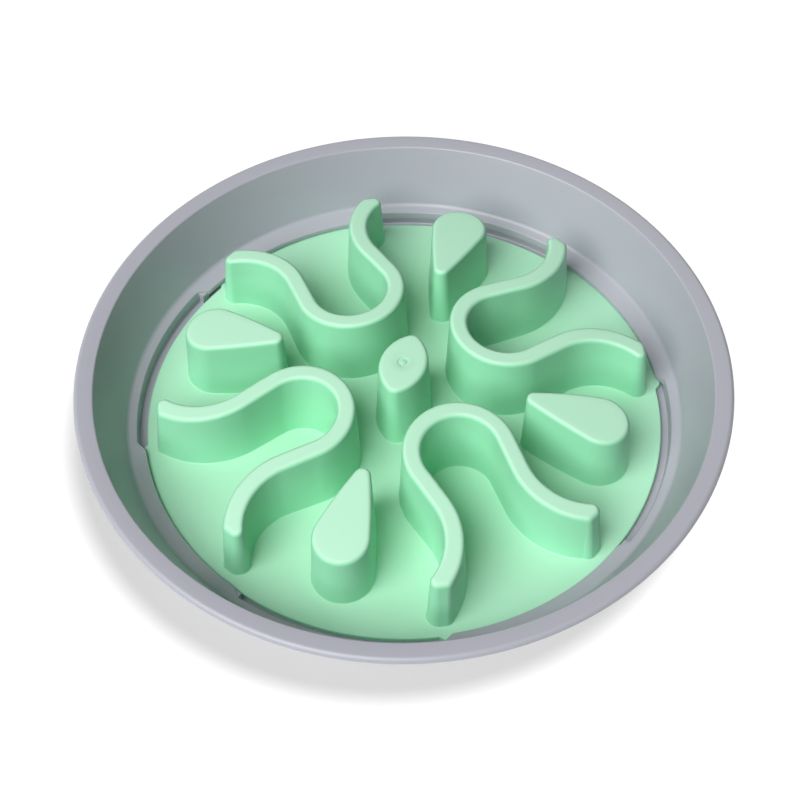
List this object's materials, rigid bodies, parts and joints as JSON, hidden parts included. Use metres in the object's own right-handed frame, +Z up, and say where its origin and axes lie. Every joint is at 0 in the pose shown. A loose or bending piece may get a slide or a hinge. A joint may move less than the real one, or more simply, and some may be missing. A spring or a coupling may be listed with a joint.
{
  "type": "slow feeder bowl",
  "caption": "Round pet bowl with a wide rim and a twist-in maze insert of looped walls and teardrop pillars that slows eating.",
  "frame": {"origin": "on the ground at the bowl's axis, under the feet", "axes": "+Z up along the bowl's axis; +X through a teardrop pillar of the insert"},
  "size_m": [0.24, 0.24, 0.0461],
  "materials": {
    "bowl_plastic": "satin",
    "insert_plastic": "satin",
    "foot_rubber": "matt"
  },
  "bodies": {
    "bowl": {"outer_bowl": "bowl_plastic", "foot_1": "foot_rubber", "foot_2": "foot_rubber", "foot_3": "foot_rubber", "foot_4": "foot_rubber"},
    "insert": {"maze_plate": "insert_plastic", "middle_pillar": "insert_plastic", "teardrop_pillar_1": "insert_plastic", "teardrop_pillar_2": "insert_plastic", "teardrop_pillar_3": "insert_plastic", "teardrop_pillar_4": "insert_plastic", "loop_wall_1": "insert_plastic", "loop_wall_2": "insert_plastic", "loop_wall_3": "insert_plastic", "loop_wall_4": "insert_plastic"}
  },
  "joints": [
    {"name": "insert_twist", "type": "hinge", "parent": "bowl", "child": "insert", "pos_m": [0, 0, 0.0111], "axis": [0, 0, 1], "range_deg": [-43.5, 3.5]}
  ]
}
